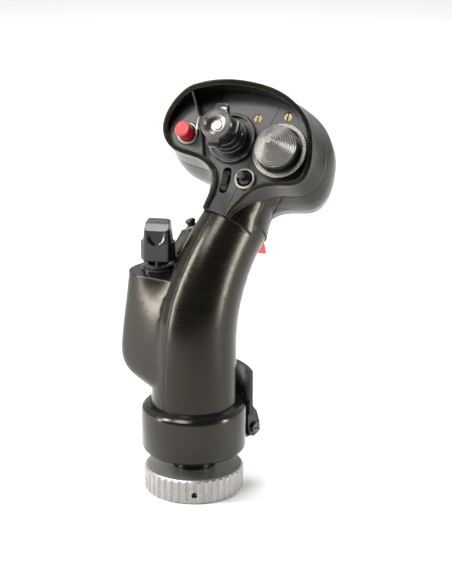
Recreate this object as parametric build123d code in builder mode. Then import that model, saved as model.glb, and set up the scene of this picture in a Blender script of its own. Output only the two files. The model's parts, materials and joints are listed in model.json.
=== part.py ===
from build123d import *
import math
import os

# Right-hand flight-stick grip with a moulded control head, side pod and aluminium lock ring.
# Frame: millimetres, +Z up, +Y forward (away from the pilot), +X to the pilot's right.
# The origin is the centre of the lock ring's bottom face, on its thread axis.

os.makedirs("parts", exist_ok=True)

# ---------------------------------------------------------------- driving dimensions
WALL = 2.4                      # shell wall
FIT = 0.05                      # radial running clearance of pins and stems
GAP = 0.24                      # seam gap between neighbouring shells

RING_R = 24.0                   # lock ring outside
RING_H = 12.0
THREAD_R = 16.9                 # bore that takes the stick's threaded stud
THREAD_L = 7.0
RING_LIP_R = 10.4
RING_LIP_Z = 9.4
RING_TRAVEL = 6.0
RING_FLUTES = 40

SPIGOT_R = 10.0
FLANGE_LOW_Z = (7.2, 8.6)
FLANGE_LOW_R = 16.5
FLANGE_TOP_Z = (23.4, 26.4)
FLANGE_TOP_R = 17.4
CONNECTOR_R = 7.0

COLLAR_R = 25.2
COLLAR_Z = (19.7, 44.6)
COLLAR_FLOOR_Z = 23.4
GRIP_R = 20.4                   # round lower end of the grip, inside the collar

# grip core stations: forward offset, height, forward lean, half width, half depth
GRIP_STATIONS = (
    (0.0, 45.0, 0, GRIP_R, GRIP_R),
    (0.9, 60.0, 0, 19.8, 20.3),
    (1.8, 75.0, 6, 18.6, 20.4),
    (4.9, 90.0, 20, 17.6, 20.1),
    (11.8, 104.3, 33, 16.5, 18.8),
    (20.2, 116.9, 37, 15.8, 17.7),
    (27.6, 124.7, 40, 15.5, 17.2),
    (33.4, 131.6, 40, 15.5, 17.2),
)
NECK_Y, NECK_Z, NECK_LEAN = 26.1, 123.3, 46
NECK_STEP = 6.0                 # front of the grip shells reaches this much further up

POD_TOP_Z = 105.0
POD_STRAIGHT_Z = 70.0
POD_HAT = (-25.2, 2.2)
# pod levels: height, left side, rear edge at the seam, rear face, front edge
POD_LEVELS = (
    (47.5, -19.0, -17.2, -11.0, 10.0),
    (51.5, -23.5, -18.6, -14.0, 13.0),
    (56.0, -32.5, -19.2, -16.2, 16.0),
    (61.0, -37.6, -19.2, -16.8, 17.6),
    (68.0, -39.0, -18.8, -16.6, 18.6),
    (80.0, -38.4, -17.4, -15.4, 19.4),
    (92.0, -37.4, -14.2, -13.8, 20.0),
    (POD_TOP_Z, -36.6, -8.6, -12.2, 20.0),
)

# head frame: the face plate's plane, turned to the pilot and tipped back
HEAD_ORIGIN = (-5.8, 32.6, 167.8)
HEAD_YAW = 18
HEAD_RISE = 33
PARTING = -10.5                 # depth of the seam between rear casing and front covers
PLATE_T = 2.0
LEDGE = 1.0
# height of the rim above the plate, from the neck to the top of the hood
RIM_LINE = ((-60.0, -2.6), (-46.0, -1.0), (-38.0, -0.2), (-30.0, 0.8), (-17.0, 1.7), (0.0, 6.3),
            (60.0, 23.1))

# head outline seen square to the face, clockwise from the hood's top left
HEAD_OUTLINE = (
    (-19.0, 20.5), (-4.0, 24.0), (11.5, 24.0), (25.5, 21.0), (37.0, 13.6), (42.8, 4.6),
    (44.6, -4.5), (44.0, -12.5), (40.2, -18.6), (30.0, -21.0), (21.4, -23.2), (15.8, -27.4),
    (11.6, -32.8), (7.8, -39.0), (5.0, -47.0), (-3.6, -47.0), (-5.8, -38.0), (-3.9, -30.0),
    (-3.2, -23.6), (-5.6, -17.6), (-10.4, -14.0), (-19.0, -12.0),
    (-28.6, -9.0), (-33.0, -2.5), (-32.0, 6.5), (-27.0, 14.6),
)
HEAD_MIDDLE = (5.0, 1.0)
# the dome behind it ends above the neck
DOME_OUTLINE = HEAD_OUTLINE[:13] + ((4.0, -36.5), (-3.4, -32.0)) + HEAD_OUTLINE[18:]

CASTLE = (1.0, -0.9)
TRIM = (28.0, -5.0)
RED = (-21.0, -1.9)
SMALL = (12.6, -19.9)
WHEEL = (2.5, -21.6)
PLATE_SCREWS = ((11.4, 10.4), (26.3, 13.0))
POST_TOPS = (22.0, 19.0)        # where the screw posts meet the hood wall
RED_PANEL_H = 3.0

TRIGGER_PIVOT = (42.4, 125.2)
TRIGGER_W = 7.6
PADDLE_PIVOT = (29.6, 25.0)
PADDLE_R = 27.6
PADDLE_T = 1.8


# ---------------------------------------------------------------- frames
def head_frame():
    yaw = math.radians(HEAD_YAW)
    rise = math.radians(HEAD_RISE)
    normal = (math.sin(yaw) * math.cos(rise), -math.cos(yaw) * math.cos(rise), math.sin(rise))
    across = (math.cos(yaw), math.sin(yaw), 0)
    return Plane(origin=HEAD_ORIGIN, x_dir=across, z_dir=normal)


HEAD = head_frame()


def on_head(across, up, proud=0.0):
    """A seat plane on the head at a place on the face plate."""
    origin = HEAD.from_local_coords(Vector(across, up, proud))
    return Plane(origin=origin, x_dir=HEAD.x_dir, z_dir=HEAD.z_dir)


def side_plane(seat):
    """The plane through a seat's axis, with heights along the axis."""
    return Plane(origin=seat.origin, x_dir=seat.x_dir, z_dir=-seat.y_dir)


def station_plane(forward, height, lean):
    angle = math.radians(lean)
    return Plane(origin=(0, forward, height), x_dir=(1, 0, 0),
                 z_dir=(0, math.sin(angle), math.cos(angle)))


NECK = station_plane(NECK_Y, NECK_Z, NECK_LEAN)
UPRIGHT = Plane.XY
POD_SEAT = Plane(origin=(POD_HAT[0], POD_HAT[1], POD_TOP_Z), x_dir=(1, 0, 0), z_dir=(0, 0, 1))


# ---------------------------------------------------------------- building blocks
def turned(seat, profile):
    """A round part turned about the seat's axis from (radius, height) points."""
    with BuildPart() as blank:
        with BuildSketch(side_plane(seat)):
            with BuildLine():
                Polyline(*profile, close=True)
            make_face()
        revolve(axis=Axis(seat.origin, seat.z_dir))
    return blank.part


def ring(seat, inner, outer, low, high):
    """A plain ring on a seat, or a disc when the inner radius is zero."""
    return turned(seat, ((inner, low), (outer, low), (outer, high), (inner, high)))


def block(seat, low, high, width, depth, corner=0.0, at=(0, 0)):
    """A rectangular block standing on a seat."""
    with BuildPart() as blank:
        with BuildSketch(seat.offset(low)):
            with Locations(at):
                if corner > 0:
                    RectangleRounded(width, depth, corner)
                else:
                    Rectangle(width, depth)
        extrude(amount=high - low)
    return blank.part


def prism(plane, points, length, both=False):
    """A straight prism with a polygon for its base."""
    with BuildPart() as blank:
        with BuildSketch(plane):
            with BuildLine():
                Polyline(*points, close=True)
            make_face()
        extrude(amount=length, both=both)
    return blank.part


def cross_pin(seat, along, radius, length):
    """A pin through a seat's origin along one of its in-plane directions."""
    with BuildPart() as blank:
        with BuildSketch(Plane(origin=seat.origin, x_dir=seat.z_dir, z_dir=along)):
            Circle(radius)
        extrude(amount=length / 2, both=True)
    return blank.part


def save(part, name):
    part.label = name
    export_step(part, f"parts/{name}.step")


# ---------------------------------------------------------------- grip core and pod envelopes
def between(stations, steps):
    """The stations with smooth in-between ones, on a curve through all of them."""
    dense = []
    last = len(stations) - 1
    for index in range(last):
        before = stations[max(index - 1, 0)]
        start = stations[index]
        end = stations[index + 1]
        after = stations[min(index + 2, last)]
        for step in range(steps):
            u = step / steps
            dense.append(tuple(
                0.5 * (2 * b + (c - a) * u + (2 * a - 5 * b + 4 * c - d) * u ** 2
                       + (3 * b - a - 3 * c + d) * u ** 3)
                for a, b, c, d in zip(before, start, end, after)))
    dense.append(stations[last])
    return dense


def grip_envelope(inset, below):
    """The hand grip: a round foot, then a leaning, slimming oval."""
    foot = (0.0, FLANGE_TOP_Z[0] - below, 0, GRIP_R, GRIP_R)
    with BuildPart() as core:
        for forward, height, lean, half_x, half_y in [foot] + between(GRIP_STATIONS, 2):
            with BuildSketch(station_plane(forward, height, lean)):
                Ellipse(half_x - inset, half_y - inset)
        loft(ruled=True)
    return core.part


def offset_points(points, grow):
    """A clockwise outline moved outwards, square to itself."""
    moved = []
    for index, (across, up) in enumerate(points):
        before = points[index - 1]
        after = points[(index + 1) % len(points)]
        run = after[0] - before[0]
        rise = after[1] - before[1]
        length = math.hypot(run, rise)
        moved.append((across - grow * rise / length, up + grow * run / length))
    return moved


def pod_envelope(inset, top, foot_lift):
    """The box moulded onto the left shell: upright sides over a tapered foot."""
    with BuildPart() as pod:
        for height, left_out, rear_out, back_out, front_out in between(POD_LEVELS, 2):
            left = left_out + inset
            rear = rear_out + inset
            back = back_out + inset
            front = front_out - inset
            level = height + foot_lift if height < POD_STRAIGHT_Z else height
            if height == POD_TOP_Z:
                level = top
            with BuildSketch(Plane.XY.offset(level)):
                with BuildLine():
                    rim = Spline(
                        (-2.0, rear), (0.42 * left, (rear + back) / 2), (0.72 * left, back),
                        (0.86 * left, 0.9 * back), (0.95 * left, 0.63 * back),
                        (left, 0.15 * back), (left, 0.45 * front), (0.96 * left, 0.77 * front),
                        (0.84 * left, 0.92 * front), (0.6 * left, front), (-2.0, front - 1.0))
                    Line(rim @ 1, rim @ 0)
                make_face()
        loft(ruled=True)
    return pod.part


# ---------------------------------------------------------------- head envelopes
def head_outline(outline, grow, scale, drop):
    """The head's outline scaled about its middle, moved outwards and lowered."""
    points = []
    for across, up in outline:
        points.append((HEAD_MIDDLE[0] + (across - HEAD_MIDDLE[0]) * scale,
                       HEAD_MIDDLE[1] + (up - HEAD_MIDDLE[1]) * scale - drop))
    return offset_points(points, grow)


def head_loft(outline, levels):
    with BuildPart() as body:
        for proud, grow, scale, drop in levels:
            with BuildSketch(HEAD.offset(proud)):
                with BuildLine():
                    Spline(*head_outline(outline, grow, scale, drop), periodic=True)
                make_face()
        loft(ruled=True)
    return body.part


def rear_envelope(inset, low, high):
    levels = ((high, -inset, 1.0, 0.0), (0.0, 0.3 - inset, 1.0, 0.0), (low, 1.8 - inset, 1.0, 0.0))
    return head_loft(HEAD_OUTLINE, levels)


# dome levels: depth, growth, scale and drop towards the trigger
DOME_OUTSIDE = (
    (PARTING, 1.8, 1.0, 0.0),
    (PARTING - 6.5, 2.8, 1.0, 0.6),
    (PARTING - 13.5, 3.0, 0.98, 2.0),
    (PARTING - 20.5, 2.2, 0.93, 3.6),
    (PARTING - 26.0, 1.2, 0.83, 4.8),
    (PARTING - 30.0, 0.6, 0.67, 5.6),
    (PARTING - 32.4, 0.3, 0.44, 6.0),
)
DOME_INSIDE = (
    (PARTING + 0.5, 1.8 - WALL, 1.0, 0.0),
    (PARTING - 6.5, 2.8 - WALL, 1.0, 0.6),
    (PARTING - 13.5, 3.0 - WALL, 0.97, 2.0),
    (PARTING - 20.0, 0.0, 0.90, 3.6),
    (PARTING - 25.0, 0.0, 0.76, 4.8),
    (PARTING - 28.8, 0.0, 0.54, 5.6),
)


def neck_envelope(inset):
    """The neck carried up into the head."""
    levels = (
        (-45.0, 4.8, -19.3, 15.5, 17.2),
        (-34.0, 4.6, -19.2, 15.5, 17.8),
        (-24.0, 5.0, -19.0, 16.5, 17.6),
        (-12.0, 6.0, -18.5, 19.0, 15.5),
    )
    with BuildPart() as neck:
        for up, across, proud, half_x, half_y in levels:
            place = HEAD.from_local_coords(Vector(across, up, proud))
            with BuildSketch(Plane(origin=place, x_dir=HEAD.x_dir, z_dir=HEAD.y_dir)):
                Ellipse(half_x - inset, half_y - inset)
        loft(ruled=True)
    return neck.part


BIG = 160.0


# ---------------------------------------------------------------- lock ring, washer, spigot
SET_SCREW_TURNS = (-135.0, -46.0, 44.0, 135.0)
SET_SCREW_R = 1.5
SET_SCREW_Z = 4.6
SET_SCREW_L = 4.6


def make_lock_ring():
    body = turned(UPRIGHT, (
        (THREAD_R, 0.0), (RING_R - 1.0, 0.0), (RING_R, 1.0),
        (RING_R, RING_H - 1.0), (RING_R - 1.0, RING_H), (RING_LIP_R, RING_H),
        (RING_LIP_R, RING_LIP_Z), (THREAD_R + 0.4, RING_LIP_Z), (THREAD_R + 0.4, THREAD_L),
        (THREAD_R, THREAD_L),
    ))
    flute_r = 1.05
    with BuildPart() as lock_ring:
        add(body)
        with BuildSketch(Plane.XY):
            with PolarLocations(RING_R + 0.4, RING_FLUTES):
                Circle(flute_r)
        extrude(amount=RING_H, mode=Mode.SUBTRACT)
        for turn in SET_SCREW_TURNS:
            angle = math.radians(turn)
            outward = (math.cos(angle), math.sin(angle), 0)
            with BuildSketch(Plane(origin=(0, 0, SET_SCREW_Z), x_dir=(0, 0, 1), z_dir=outward)):
                Circle(SET_SCREW_R)
            extrude(amount=RING_R + 2.0, mode=Mode.SUBTRACT)
    return lock_ring.part


def make_set_screws():
    """Grub screws with a hex socket, below the surface of the ring."""
    with BuildPart() as screws:
        for turn in SET_SCREW_TURNS:
            angle = math.radians(turn)
            outward = (math.cos(angle), math.sin(angle), 0)
            seat = Plane(origin=(0, 0, SET_SCREW_Z), x_dir=(0, 0, 1), z_dir=outward)
            with BuildSketch(seat.offset(THREAD_R + 0.5)):
                Circle(SET_SCREW_R - FIT)
            extrude(amount=SET_SCREW_L)
            with BuildSketch(seat.offset(THREAD_R + 0.5 + SET_SCREW_L)):
                RegularPolygon(0.8, 6)
            extrude(amount=-1.6, mode=Mode.SUBTRACT)
    return screws.part


save(make_lock_ring(), "lock_ring")
save(make_set_screws(), "lock_ring_set_screws")
save(ring(UPRIGHT, SPIGOT_R + 0.5, FLANGE_LOW_R - 0.2, 8.7, 9.3), "lock_ring_washer")

spigot = turned(UPRIGHT, (
    (CONNECTOR_R, FLANGE_LOW_Z[0]), (FLANGE_LOW_R, FLANGE_LOW_Z[0]),
    (FLANGE_LOW_R, FLANGE_LOW_Z[1]), (SPIGOT_R, FLANGE_LOW_Z[1]), (SPIGOT_R, FLANGE_TOP_Z[0]),
    (FLANGE_TOP_R, FLANGE_TOP_Z[0]), (FLANGE_TOP_R, FLANGE_TOP_Z[1]),
    (CONNECTOR_R, FLANGE_TOP_Z[1]),
))
save(spigot, "base_spigot")

CONNECTOR_Z = (11.0, 24.0)
PIN_CIRCLE = 3.6
PIN_R = 0.5
with BuildPart() as connector_shell:
    add(ring(UPRIGHT, 6.0, CONNECTOR_R - FIT, CONNECTOR_Z[0] - 2.0, CONNECTOR_Z[1]))
save(connector_shell.part, "connector_shell")

with BuildPart() as connector_insulator:
    with BuildSketch(Plane.XY.offset(CONNECTOR_Z[0] + 2.5)):
        Circle(6.0 - FIT)
        with PolarLocations(PIN_CIRCLE, 5):
            Circle(PIN_R + 0.02, mode=Mode.SUBTRACT)
    extrude(amount=8.0)
save(connector_insulator.part, "connector_insulator")

with BuildPart() as connector_pins:
    with BuildSketch(Plane.XY.offset(CONNECTOR_Z[0])):
        with PolarLocations(PIN_CIRCLE, 5):
            Circle(PIN_R)
    extrude(amount=13.0)
save(connector_pins.part, "connector_pins")

# ---------------------------------------------------------------- collar halves
COLLAR_SCREW_Y = 22.6
COLLAR_SCREW_HEIGHTS = (33.4, 39.4)
BRACKET_FACE = 23.9
BRACKET_HALF = 10.4
BRACKET_Z = (19.9, 30.6)

collar_blank = turned(UPRIGHT, (
    (SPIGOT_R + FIT, COLLAR_Z[0]), (21.6, COLLAR_Z[0]), (23.4, 20.2), (24.7, 21.5),
    (COLLAR_R, 23.3), (COLLAR_R, 40.4), (24.8, 42.0), (23.5, 43.4), (20.7, COLLAR_Z[1]),
    (GRIP_R + 0.1, COLLAR_Z[1]), (GRIP_R + 0.1, COLLAR_FLOOR_Z), (SPIGOT_R + FIT, COLLAR_FLOOR_Z),
))


def make_collar(side):
    keep = Keep.TOP if side > 0 else Keep.BOTTOM
    with BuildPart() as collar:
        add(collar_blank)
        with BuildSketch(Plane(origin=(0, BRACKET_FACE, 0), x_dir=(1, 0, 0), z_dir=(0, 1, 0))):
            with Locations((0, -(BRACKET_Z[0] + BRACKET_Z[1]) / 2)):
                Rectangle(2 * BRACKET_HALF + 2 * FIT, BRACKET_Z[1] - BRACKET_Z[0] + 2 * FIT)
        extrude(amount=5.0, mode=Mode.SUBTRACT)
        for height in COLLAR_SCREW_HEIGHTS:
            with BuildSketch(Plane(origin=(0, COLLAR_SCREW_Y, height), x_dir=(0, 1, 0),
                                   z_dir=(1, 0, 0))):
                Circle(1.1 + FIT)
            extrude(amount=8.0, both=True, mode=Mode.SUBTRACT)
            with BuildSketch(Plane(origin=(-4.0, COLLAR_SCREW_Y, height), x_dir=(0, 1, 0),
                                   z_dir=(-1, 0, 0))):
                Circle(2.1)
            extrude(amount=12.0, mode=Mode.SUBTRACT)
        split(bisect_by=Plane.YZ.offset(GAP / 2 * side), keep=keep)
    return collar.part


save(make_collar(1), "collar_right")
save(make_collar(-1), "collar_left")

with BuildPart() as collar_screws:
    for height in COLLAR_SCREW_HEIGHTS:
        screw_seat = Plane(origin=(-4.0, COLLAR_SCREW_Y, height), x_dir=(0, 1, 0), z_dir=(-1, 0, 0))
        with BuildSketch(screw_seat):
            Circle(1.95)
        extrude(amount=1.6)
        with BuildSketch(screw_seat):
            Circle(1.1)
        extrude(amount=-11.0)
        with BuildSketch(screw_seat.offset(1.6)):
            RegularPolygon(1.0, 6)
        extrude(amount=-1.0, mode=Mode.SUBTRACT)
save(collar_screws.part, "collar_screws")

# ---------------------------------------------------------------- grip shells
grip_outer = grip_envelope(0.0, 0.0)
grip_inner = grip_envelope(WALL, 1.0)
pod_outer = pod_envelope(0.0, POD_TOP_Z, 0.0)
pod_inner = pod_envelope(WALL, POD_TOP_Z - WALL, WALL)

TRIGGER_SLOT = (
    (34.0, 113.2), (38.8, 108.6), (52.0, 102.0), (56.0, 115.5), (46.3, 122.0), (40.0, 126.0),
    (36.0, 120.0),
)
trigger_slot = prism(Plane.YZ, TRIGGER_SLOT, TRIGGER_W / 2 + 0.4, both=True)
# forward, height and distance from the seam of each shell screw's head
SHELL_SCREWS = ((6.0, 47.8, 17.8), (17.5, 112.0, 13.5))


def shell_screw_cut(forward, height, surface):
    """A recessed head pocket opening to the left, and its clearance hole."""
    with BuildPart() as cut:
        with BuildSketch(Plane(origin=(-surface, forward, height), x_dir=(0, 1, 0),
                               z_dir=(-1, 0, 0))):
            Circle(2.2)
        extrude(amount=12.0)
        with BuildSketch(Plane(origin=(0, forward, height), x_dir=(0, 1, 0), z_dir=(-1, 0, 0))):
            Circle(1.25 + FIT)
        extrude(amount=surface + 1.0, both=True)
    return cut.part


POD_HOLE_R = 4.6

# the stepped joint: the casing comes down to the neck plane, the front covers stop a step higher
with BuildPart() as joint_cut:
    add(block(NECK, -GAP, BIG, BIG, BIG))
    add(block(HEAD, PARTING - GAP, BIG, 2 * BIG, 2 * BIG), mode=Mode.INTERSECT)
    add(block(NECK, NECK_STEP - GAP, BIG, BIG, BIG))
above_joint = joint_cut.part

def make_shell(side):
    keep = Keep.TOP if side > 0 else Keep.BOTTOM
    with BuildPart() as shell:
        add(grip_outer)
        if side < 0:
            add(pod_outer)
        add(grip_inner, mode=Mode.SUBTRACT)
        if side < 0:
            add(pod_inner, mode=Mode.SUBTRACT)
        add(above_joint, mode=Mode.SUBTRACT)
        add(trigger_slot, mode=Mode.SUBTRACT)
        for forward, height, surface in SHELL_SCREWS:
            add(shell_screw_cut(forward, height, surface), mode=Mode.SUBTRACT)
        if side < 0:
            with BuildSketch(POD_SEAT):
                Circle(POD_HOLE_R)
            extrude(amount=-WALL - 1.0, mode=Mode.SUBTRACT)
        split(bisect_by=Plane.YZ.offset(GAP / 2 * side), keep=keep)
    return shell.part


save(make_shell(1), "grip_shell_right")
save(make_shell(-1), "grip_shell_left")

with BuildPart() as shell_screws:
    for forward, height, surface in SHELL_SCREWS:
        screw_seat = Plane(origin=(-surface, forward, height), x_dir=(0, 1, 0), z_dir=(-1, 0, 0))
        with BuildSketch(screw_seat):
            Circle(2.05)
        extrude(amount=1.5)
        with BuildSketch(screw_seat):
            Circle(1.25)
        extrude(amount=-2 * surface - 0.6)
        with BuildSketch(screw_seat.offset(1.5)):
            Rectangle(3.2, 0.7)
            Rectangle(0.7, 3.2)
        extrude(amount=-0.9, mode=Mode.SUBTRACT)
save(shell_screws.part, "shell_screws")

# ---------------------------------------------------------------- head casing and front covers
rear_outer = rear_envelope(0.0, PARTING, 16.0)
neck_outer = neck_envelope(0.0)
neck_inner = neck_envelope(WALL)
face_well = rear_envelope(WALL, -PLATE_T, 17.0)
back_well = rear_envelope(WALL + LEDGE, PARTING - 1.0, 0.0)
RIM_SIDE = Plane(origin=HEAD.origin, x_dir=HEAD.y_dir, z_dir=HEAD.x_dir)
above_rim = prism(RIM_SIDE, RIM_LINE + ((60.0, 60.0), (-60.0, 60.0)), BIG, both=True)
# the tongue of the face plates falls away towards the grip
tongue_fall = prism(RIM_SIDE, ((-27.0, 0.0), (-38.0, -0.8), (-60.0, -3.2), (-60.0, 12.0),
                               (-27.0, 12.0)), BIG, both=True)
POST_SIZE = 5.4

with BuildPart() as rear_casing:
    add(rear_outer)
    add(neck_outer)
    add(face_well, mode=Mode.SUBTRACT)
    add(back_well, mode=Mode.SUBTRACT)
    add(neck_inner, mode=Mode.SUBTRACT)
    for (across, up), top in zip(PLATE_SCREWS, POST_TOPS):
        foot = up - POST_SIZE / 2
        add(block(HEAD, PARTING + 1.0, -PLATE_T, POST_SIZE, top - foot,
                  at=(across, (top + foot) / 2)))
    add(above_rim, mode=Mode.SUBTRACT)
    add(block(HEAD, -BIG, PARTING, 2 * BIG, 2 * BIG), mode=Mode.SUBTRACT)
    add(block(NECK, -BIG, 0.0, BIG, BIG), mode=Mode.SUBTRACT)
    for across, up in PLATE_SCREWS:
        with BuildSketch(HEAD):
            with Locations((across, up)):
                Circle(1.2 + FIT)
        extrude(amount=-9.0, mode=Mode.SUBTRACT)
save(rear_casing.part, "head_rear_casing")

# front cover halves meet along a plane that leaves the trigger and climbs the right cheek
COVER_SEAM = Plane(origin=HEAD.from_local_coords(Vector(17.8, -40.0, -27.0)),
                   x_dir=HEAD.y_dir,
                   z_dir=(HEAD.x_dir * 0.84 - HEAD.z_dir * 0.54).normalized())


with BuildPart() as cover_blank:
    add(head_loft(DOME_OUTLINE, DOME_OUTSIDE))
    add(neck_outer)
    add(head_loft(DOME_OUTLINE, DOME_INSIDE), mode=Mode.SUBTRACT)
    add(neck_inner, mode=Mode.SUBTRACT)
    add(block(HEAD, PARTING - GAP, BIG, 2 * BIG, 2 * BIG), mode=Mode.SUBTRACT)
    add(block(NECK, -BIG, NECK_STEP, BIG, BIG), mode=Mode.SUBTRACT)
    add(trigger_slot, mode=Mode.SUBTRACT)

with BuildPart() as head_cover_right:
    add(cover_blank.part)
    split(bisect_by=COVER_SEAM.offset(GAP / 2), keep=Keep.TOP)
save(head_cover_right.part, "head_cover_right")

with BuildPart() as head_cover_left:
    add(cover_blank.part)
    split(bisect_by=COVER_SEAM.offset(-GAP / 2), keep=Keep.BOTTOM)
save(head_cover_left.part, "head_cover_left")

# ---------------------------------------------------------------- face plates
with BuildPart() as plate_stock:
    add(rear_envelope(WALL + 0.1, -PLATE_T, 0.0))
    add(tongue_fall, mode=Mode.SUBTRACT)
    add(block(NECK, -BIG, 0.1, BIG, BIG), mode=Mode.SUBTRACT)
plate_blank = plate_stock.part
SEAM_LINE = ((22.0, 20.5), (6.4, -35.5))
PARTITION_LINE = ((-22.5, 24.0), (-9.6, -13.7))


def beside_line(line, shift, side, low, high):
    """Everything to one side of a line across the face; shift moves the line to that side."""
    (top_x, top_y), (foot_x, foot_y) = line
    run = foot_x - top_x
    drop = foot_y - top_y
    reach = 90.0 * side
    points = (
        (top_x - run + shift * side, top_y - drop), (foot_x + run + shift * side, foot_y + drop),
        (foot_x + run + reach, foot_y + drop), (top_x - run + reach, top_y - drop),
    )
    return prism(HEAD.offset(low), points, high - low)


def red_corner(shift, low, high):
    """The corner of the face on the red button's side of the partition."""
    (top_x, top_y), (foot_x, foot_y) = PARTITION_LINE
    points = (
        (foot_x + shift, foot_y - max(shift, 0.0)), (2 * top_x - foot_x + shift, 2 * top_y - foot_y),
        (-90.0, 2 * top_y - foot_y), (-90.0, foot_y - max(shift, 0.0)),
    )
    return prism(HEAD.offset(low), points, high - low)


with BuildPart() as plate_holes:
    with BuildSketch(HEAD.offset(-PLATE_T - 1.0)):
        with Locations(CASTLE):
            Circle(6.4)
        with Locations(TRIM):
            Circle(6.4)
        with Locations(SMALL):
            Circle(3.3)
        with Locations(WHEEL):
            RectangleRounded(4.4, 12.8, 2.0)
        with Locations(*PLATE_SCREWS):
            Circle(1.2 + FIT)
    extrude(amount=PLATE_T + 2.0)
    with BuildSketch(HEAD.offset(-1.4)):
        with Locations(*PLATE_SCREWS):
            Circle(2.3)
    extrude(amount=2.0)

with BuildPart() as face_plate_right:
    add(plate_blank)
    add(beside_line(SEAM_LINE, GAP / 2, 1, -5.0, 3.0), mode=Mode.INTERSECT)
    add(plate_holes.part, mode=Mode.SUBTRACT)
save(face_plate_right.part, "face_plate_right")

with BuildPart() as face_plate_left:
    add(plate_blank)
    add(beside_line(SEAM_LINE, GAP / 2, -1, -5.0, 3.0), mode=Mode.INTERSECT)
    add(red_corner(GAP, -5.0, 3.0), mode=Mode.SUBTRACT)
    add(plate_holes.part, mode=Mode.SUBTRACT)
save(face_plate_left.part, "face_plate_left")

WALL_T = 0.9
partition = red_corner(0.0, -PLATE_T, 14.0)
beyond_wall = red_corner(-WALL_T, RED_PANEL_H, 14.5)
panel_top = prism(RIM_SIDE, (
    (-60.0, RED_PANEL_H + 0.6), (-2.0, RED_PANEL_H + 0.6), (8.0, RED_PANEL_H + 1.4),
    (17.0, RED_PANEL_H + 7.2), (40.0, RED_PANEL_H + 15.0), (40.0, 40.0), (-60.0, 40.0)), BIG, both=True)
with BuildPart() as red_panel:
    add(rear_envelope(WALL + 0.1, -PLATE_T, 16.0))
    add(partition, mode=Mode.INTERSECT)
    add(beyond_wall, mode=Mode.SUBTRACT)
    add(panel_top, mode=Mode.SUBTRACT)
    add(above_rim, mode=Mode.SUBTRACT)
    with BuildSketch(HEAD.offset(-3.0)):
        with Locations(RED):
            Circle(1.5 + FIT)
    extrude(amount=8.0, mode=Mode.SUBTRACT)
    with BuildSketch(HEAD.offset(1.0)):
        with Locations(RED):
            Circle(4.4)
    extrude(amount=8.0, mode=Mode.SUBTRACT)
save(red_panel.part, "red_button_panel")

with BuildPart() as plate_screws:
    for across, up in PLATE_SCREWS:
        with BuildSketch(on_head(across, up, -1.4)):
            Circle(2.05)
        extrude(amount=1.2)
        with BuildSketch(on_head(across, up, -1.4)):
            Circle(1.2)
        extrude(amount=-7.2)
        with BuildSketch(on_head(across, up, -0.2)):
            Rectangle(0.7, 5.0)
        extrude(amount=-0.7, mode=Mode.SUBTRACT)
save(plate_screws.part, "face_plate_screws")

# ---------------------------------------------------------------- four-way hat mechanisms
PIVOT_DEPTH = 5.0               # tilt centre below the seat
CAN_HALF = 7.4
CAN_DEPTH = 12.5
CAN_WELL_R = 6.4
GIMBAL_R = (3.7, 5.4)
GIMBAL_HALF = 1.1
TRUNNION_R = 0.7
STEM_R = 1.5


def make_switch_can(seat, top, half):
    """The fixed switch body: a square can whose walls carry the gimbal's trunnions."""
    with BuildPart() as can:
        add(block(seat, -CAN_DEPTH, top, 2 * half, 2 * half, 1.2))
        with BuildSketch(seat.offset(top)):
            Circle(CAN_WELL_R)
        extrude(amount=-(CAN_DEPTH + top) + 1.4, mode=Mode.SUBTRACT)
        pivot = Plane(origin=seat.origin - seat.z_dir * PIVOT_DEPTH, x_dir=seat.x_dir,
                      z_dir=seat.z_dir)
        add(cross_pin(pivot, seat.x_dir, TRUNNION_R + FIT, 14.4), mode=Mode.SUBTRACT)
    return can.part


def make_gimbal(seat):
    """The ring that tilts about the seat's x direction."""
    pivot = Plane(origin=seat.origin - seat.z_dir * PIVOT_DEPTH, x_dir=seat.x_dir, z_dir=seat.z_dir)
    with BuildPart() as gimbal:
        add(cross_pin(pivot, seat.x_dir, TRUNNION_R, 14.0))
        add(ring(pivot, 0.0, GIMBAL_R[1], -GIMBAL_HALF, GIMBAL_HALF))
        add(ring(pivot, 0.0, GIMBAL_R[0], -GIMBAL_HALF - 1.0, GIMBAL_HALF + 1.0), mode=Mode.SUBTRACT)
        add(cross_pin(pivot, seat.y_dir, TRUNNION_R + FIT, 12.0), mode=Mode.SUBTRACT)
    return gimbal.part


def make_rocker(seat, bore, stem_low, stem_high):
    """The centre block that tilts in the gimbal about the seat's y direction.

    It is bored for a sliding stem, or carries its own stem.
    """
    pivot = Plane(origin=seat.origin - seat.z_dir * PIVOT_DEPTH, x_dir=seat.x_dir, z_dir=seat.z_dir)
    with BuildPart() as rocker:
        add(cross_pin(pivot, seat.y_dir, TRUNNION_R, 2 * GIMBAL_R[1] - 0.4))
        add(ring(pivot, 0.0, 2.9, -1.0, 1.0))
        if bore > 0:
            add(ring(pivot, 0.0, bore, -3.0, 3.0), mode=Mode.SUBTRACT)
        else:
            add(ring(seat, 0.0, STEM_R, stem_low, stem_high))
    return rocker.part


CAP_LOW = 11.4
CASTLE_SEAT = on_head(*CASTLE, -PLATE_T)
TRIM_SEAT = on_head(*TRIM, -PLATE_T)
castle_on_plate = on_head(*CASTLE)
trim_on_plate = on_head(*TRIM)

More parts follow.
